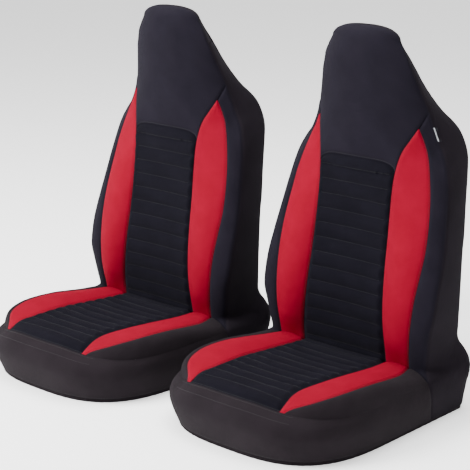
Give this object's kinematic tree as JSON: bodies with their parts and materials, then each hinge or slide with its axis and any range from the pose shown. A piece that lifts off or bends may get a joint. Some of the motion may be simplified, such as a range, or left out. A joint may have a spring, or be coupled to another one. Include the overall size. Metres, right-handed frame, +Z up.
{
  "type": "seat cover set",
  "caption": "Pair of high-back bucket seat covers with ribbed black inserts, red bolsters, fabric skirts and elastic under-straps; each back reclines at its crease.",
  "frame": {"origin": "middle of the set's bounding box, on the plane that both hems stand on", "axes": "+X from the passenger cover to the driver cover, +Y from the front of the seats to their backs, +Z up"},
  "size_m": [1.2406, 0.7507, 0.9939],
  "materials": {
    "panel_jersey": "matte",
    "quilted_insert": "matte",
    "bolster_jersey": "matte",
    "skirt_jersey": "matte",
    "side_jersey": "matte",
    "elastic_webbing": "matte",
    "woven_label": "satin",
    "hook_steel": "satin"
  },
  "bodies": {
    "driver_seat": {"driver_seat_insert": "quilted_insert", "driver_seat_bolster_left": "bolster_jersey", "driver_seat_bolster_right": "bolster_jersey", "driver_seat_wing_left": "skirt_jersey", "driver_seat_wing_right": "skirt_jersey", "driver_skirt": "skirt_jersey", "driver_rear_skirt": "side_jersey", "driver_hem": "skirt_jersey", "driver_strap_front": "elastic_webbing", "driver_strap_rear": "elastic_webbing", "driver_strap_loops": "elastic_webbing", "driver_strap_hooks": "hook_steel"},
    "driver_back": {"driver_head_panel": "panel_jersey", "driver_back_insert": "quilted_insert", "driver_back_bolster_left": "bolster_jersey", "driver_back_bolster_right": "bolster_jersey", "driver_back_wing_left": "panel_jersey", "driver_back_wing_right": "panel_jersey", "driver_side_strip_left": "side_jersey", "driver_side_strip_right": "side_jersey", "driver_head_gusset": "side_jersey", "driver_rear_panel": "side_jersey", "driver_label": "woven_label"},
    "passenger_seat": {"passenger_seat_insert": "quilted_insert", "passenger_seat_bolster_left": "bolster_jersey", "passenger_seat_bolster_right": "bolster_jersey", "passenger_seat_wing_left": "skirt_jersey", "passenger_seat_wing_right": "skirt_jersey", "passenger_skirt": "skirt_jersey", "passenger_rear_skirt": "side_jersey", "passenger_hem": "skirt_jersey", "passenger_strap_front": "elastic_webbing", "passenger_strap_rear": "elastic_webbing", "passenger_strap_loops": "elastic_webbing", "passenger_strap_hooks": "hook_steel"},
    "passenger_back": {"passenger_head_panel": "panel_jersey", "passenger_back_insert": "quilted_insert", "passenger_back_bolster_left": "bolster_jersey", "passenger_back_bolster_right": "bolster_jersey", "passenger_back_wing_left": "panel_jersey", "passenger_back_wing_right": "panel_jersey", "passenger_side_strip_left": "side_jersey", "passenger_side_strip_right": "side_jersey", "passenger_head_gusset": "side_jersey", "passenger_rear_panel": "side_jersey"}
  },
  "joints": [
    {"name": "driver_recline", "type": "hinge", "parent": "driver_seat", "child": "driver_back", "pos_m": [0.3275, 0.1565, 0.136], "axis": [-1, 0, 0], "range_deg": [0, 25]},
    {"name": "passenger_fore_aft", "type": "slide", "parent": "driver_seat", "child": "passenger_seat", "axis": [0, 1, 0], "range_m": [-0.08, 0.12]},
    {"name": "passenger_recline", "type": "hinge", "parent": "passenger_seat", "child": "passenger_back", "pos_m": [-0.3275, 0.1145, 0.136], "axis": [-1, 0, 0], "range_deg": [0, 25]}
  ]
}
